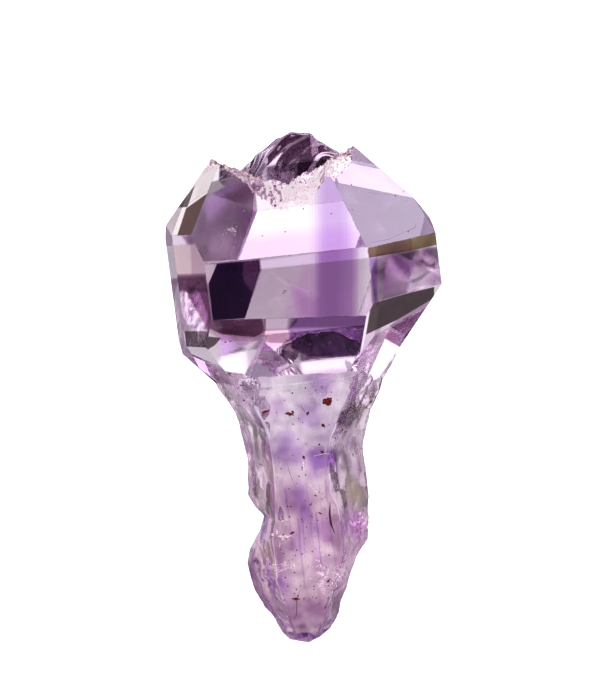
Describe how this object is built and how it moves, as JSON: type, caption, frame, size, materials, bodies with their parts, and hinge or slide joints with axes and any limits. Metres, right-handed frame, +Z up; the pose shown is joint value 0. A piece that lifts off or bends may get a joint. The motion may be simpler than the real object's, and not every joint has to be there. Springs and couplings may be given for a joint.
{
  "type": "amethyst scepter crystal",
  "caption": "Small amethyst scepter: a stubby clear purple quartz head with a broken, hollowed top on a thinner, etched stem, lying on its back.",
  "frame": {"origin": "middle of the bounding box's underside, on the surface that the crystal lies on", "axes": "+Z up, with the front prism face looking up; +Y along the crystal from the stem's foot to the head; +X to the right seen from above"},
  "size_m": [0.0162, 0.03, 0.0152],
  "materials": {
    "amethyst": "clear quartz, glossy crystal faces, sugary broken rim"
  },
  "bodies": {
    "root": {"scepter_crystal": "amethyst"}
  },
  "joints": []
}
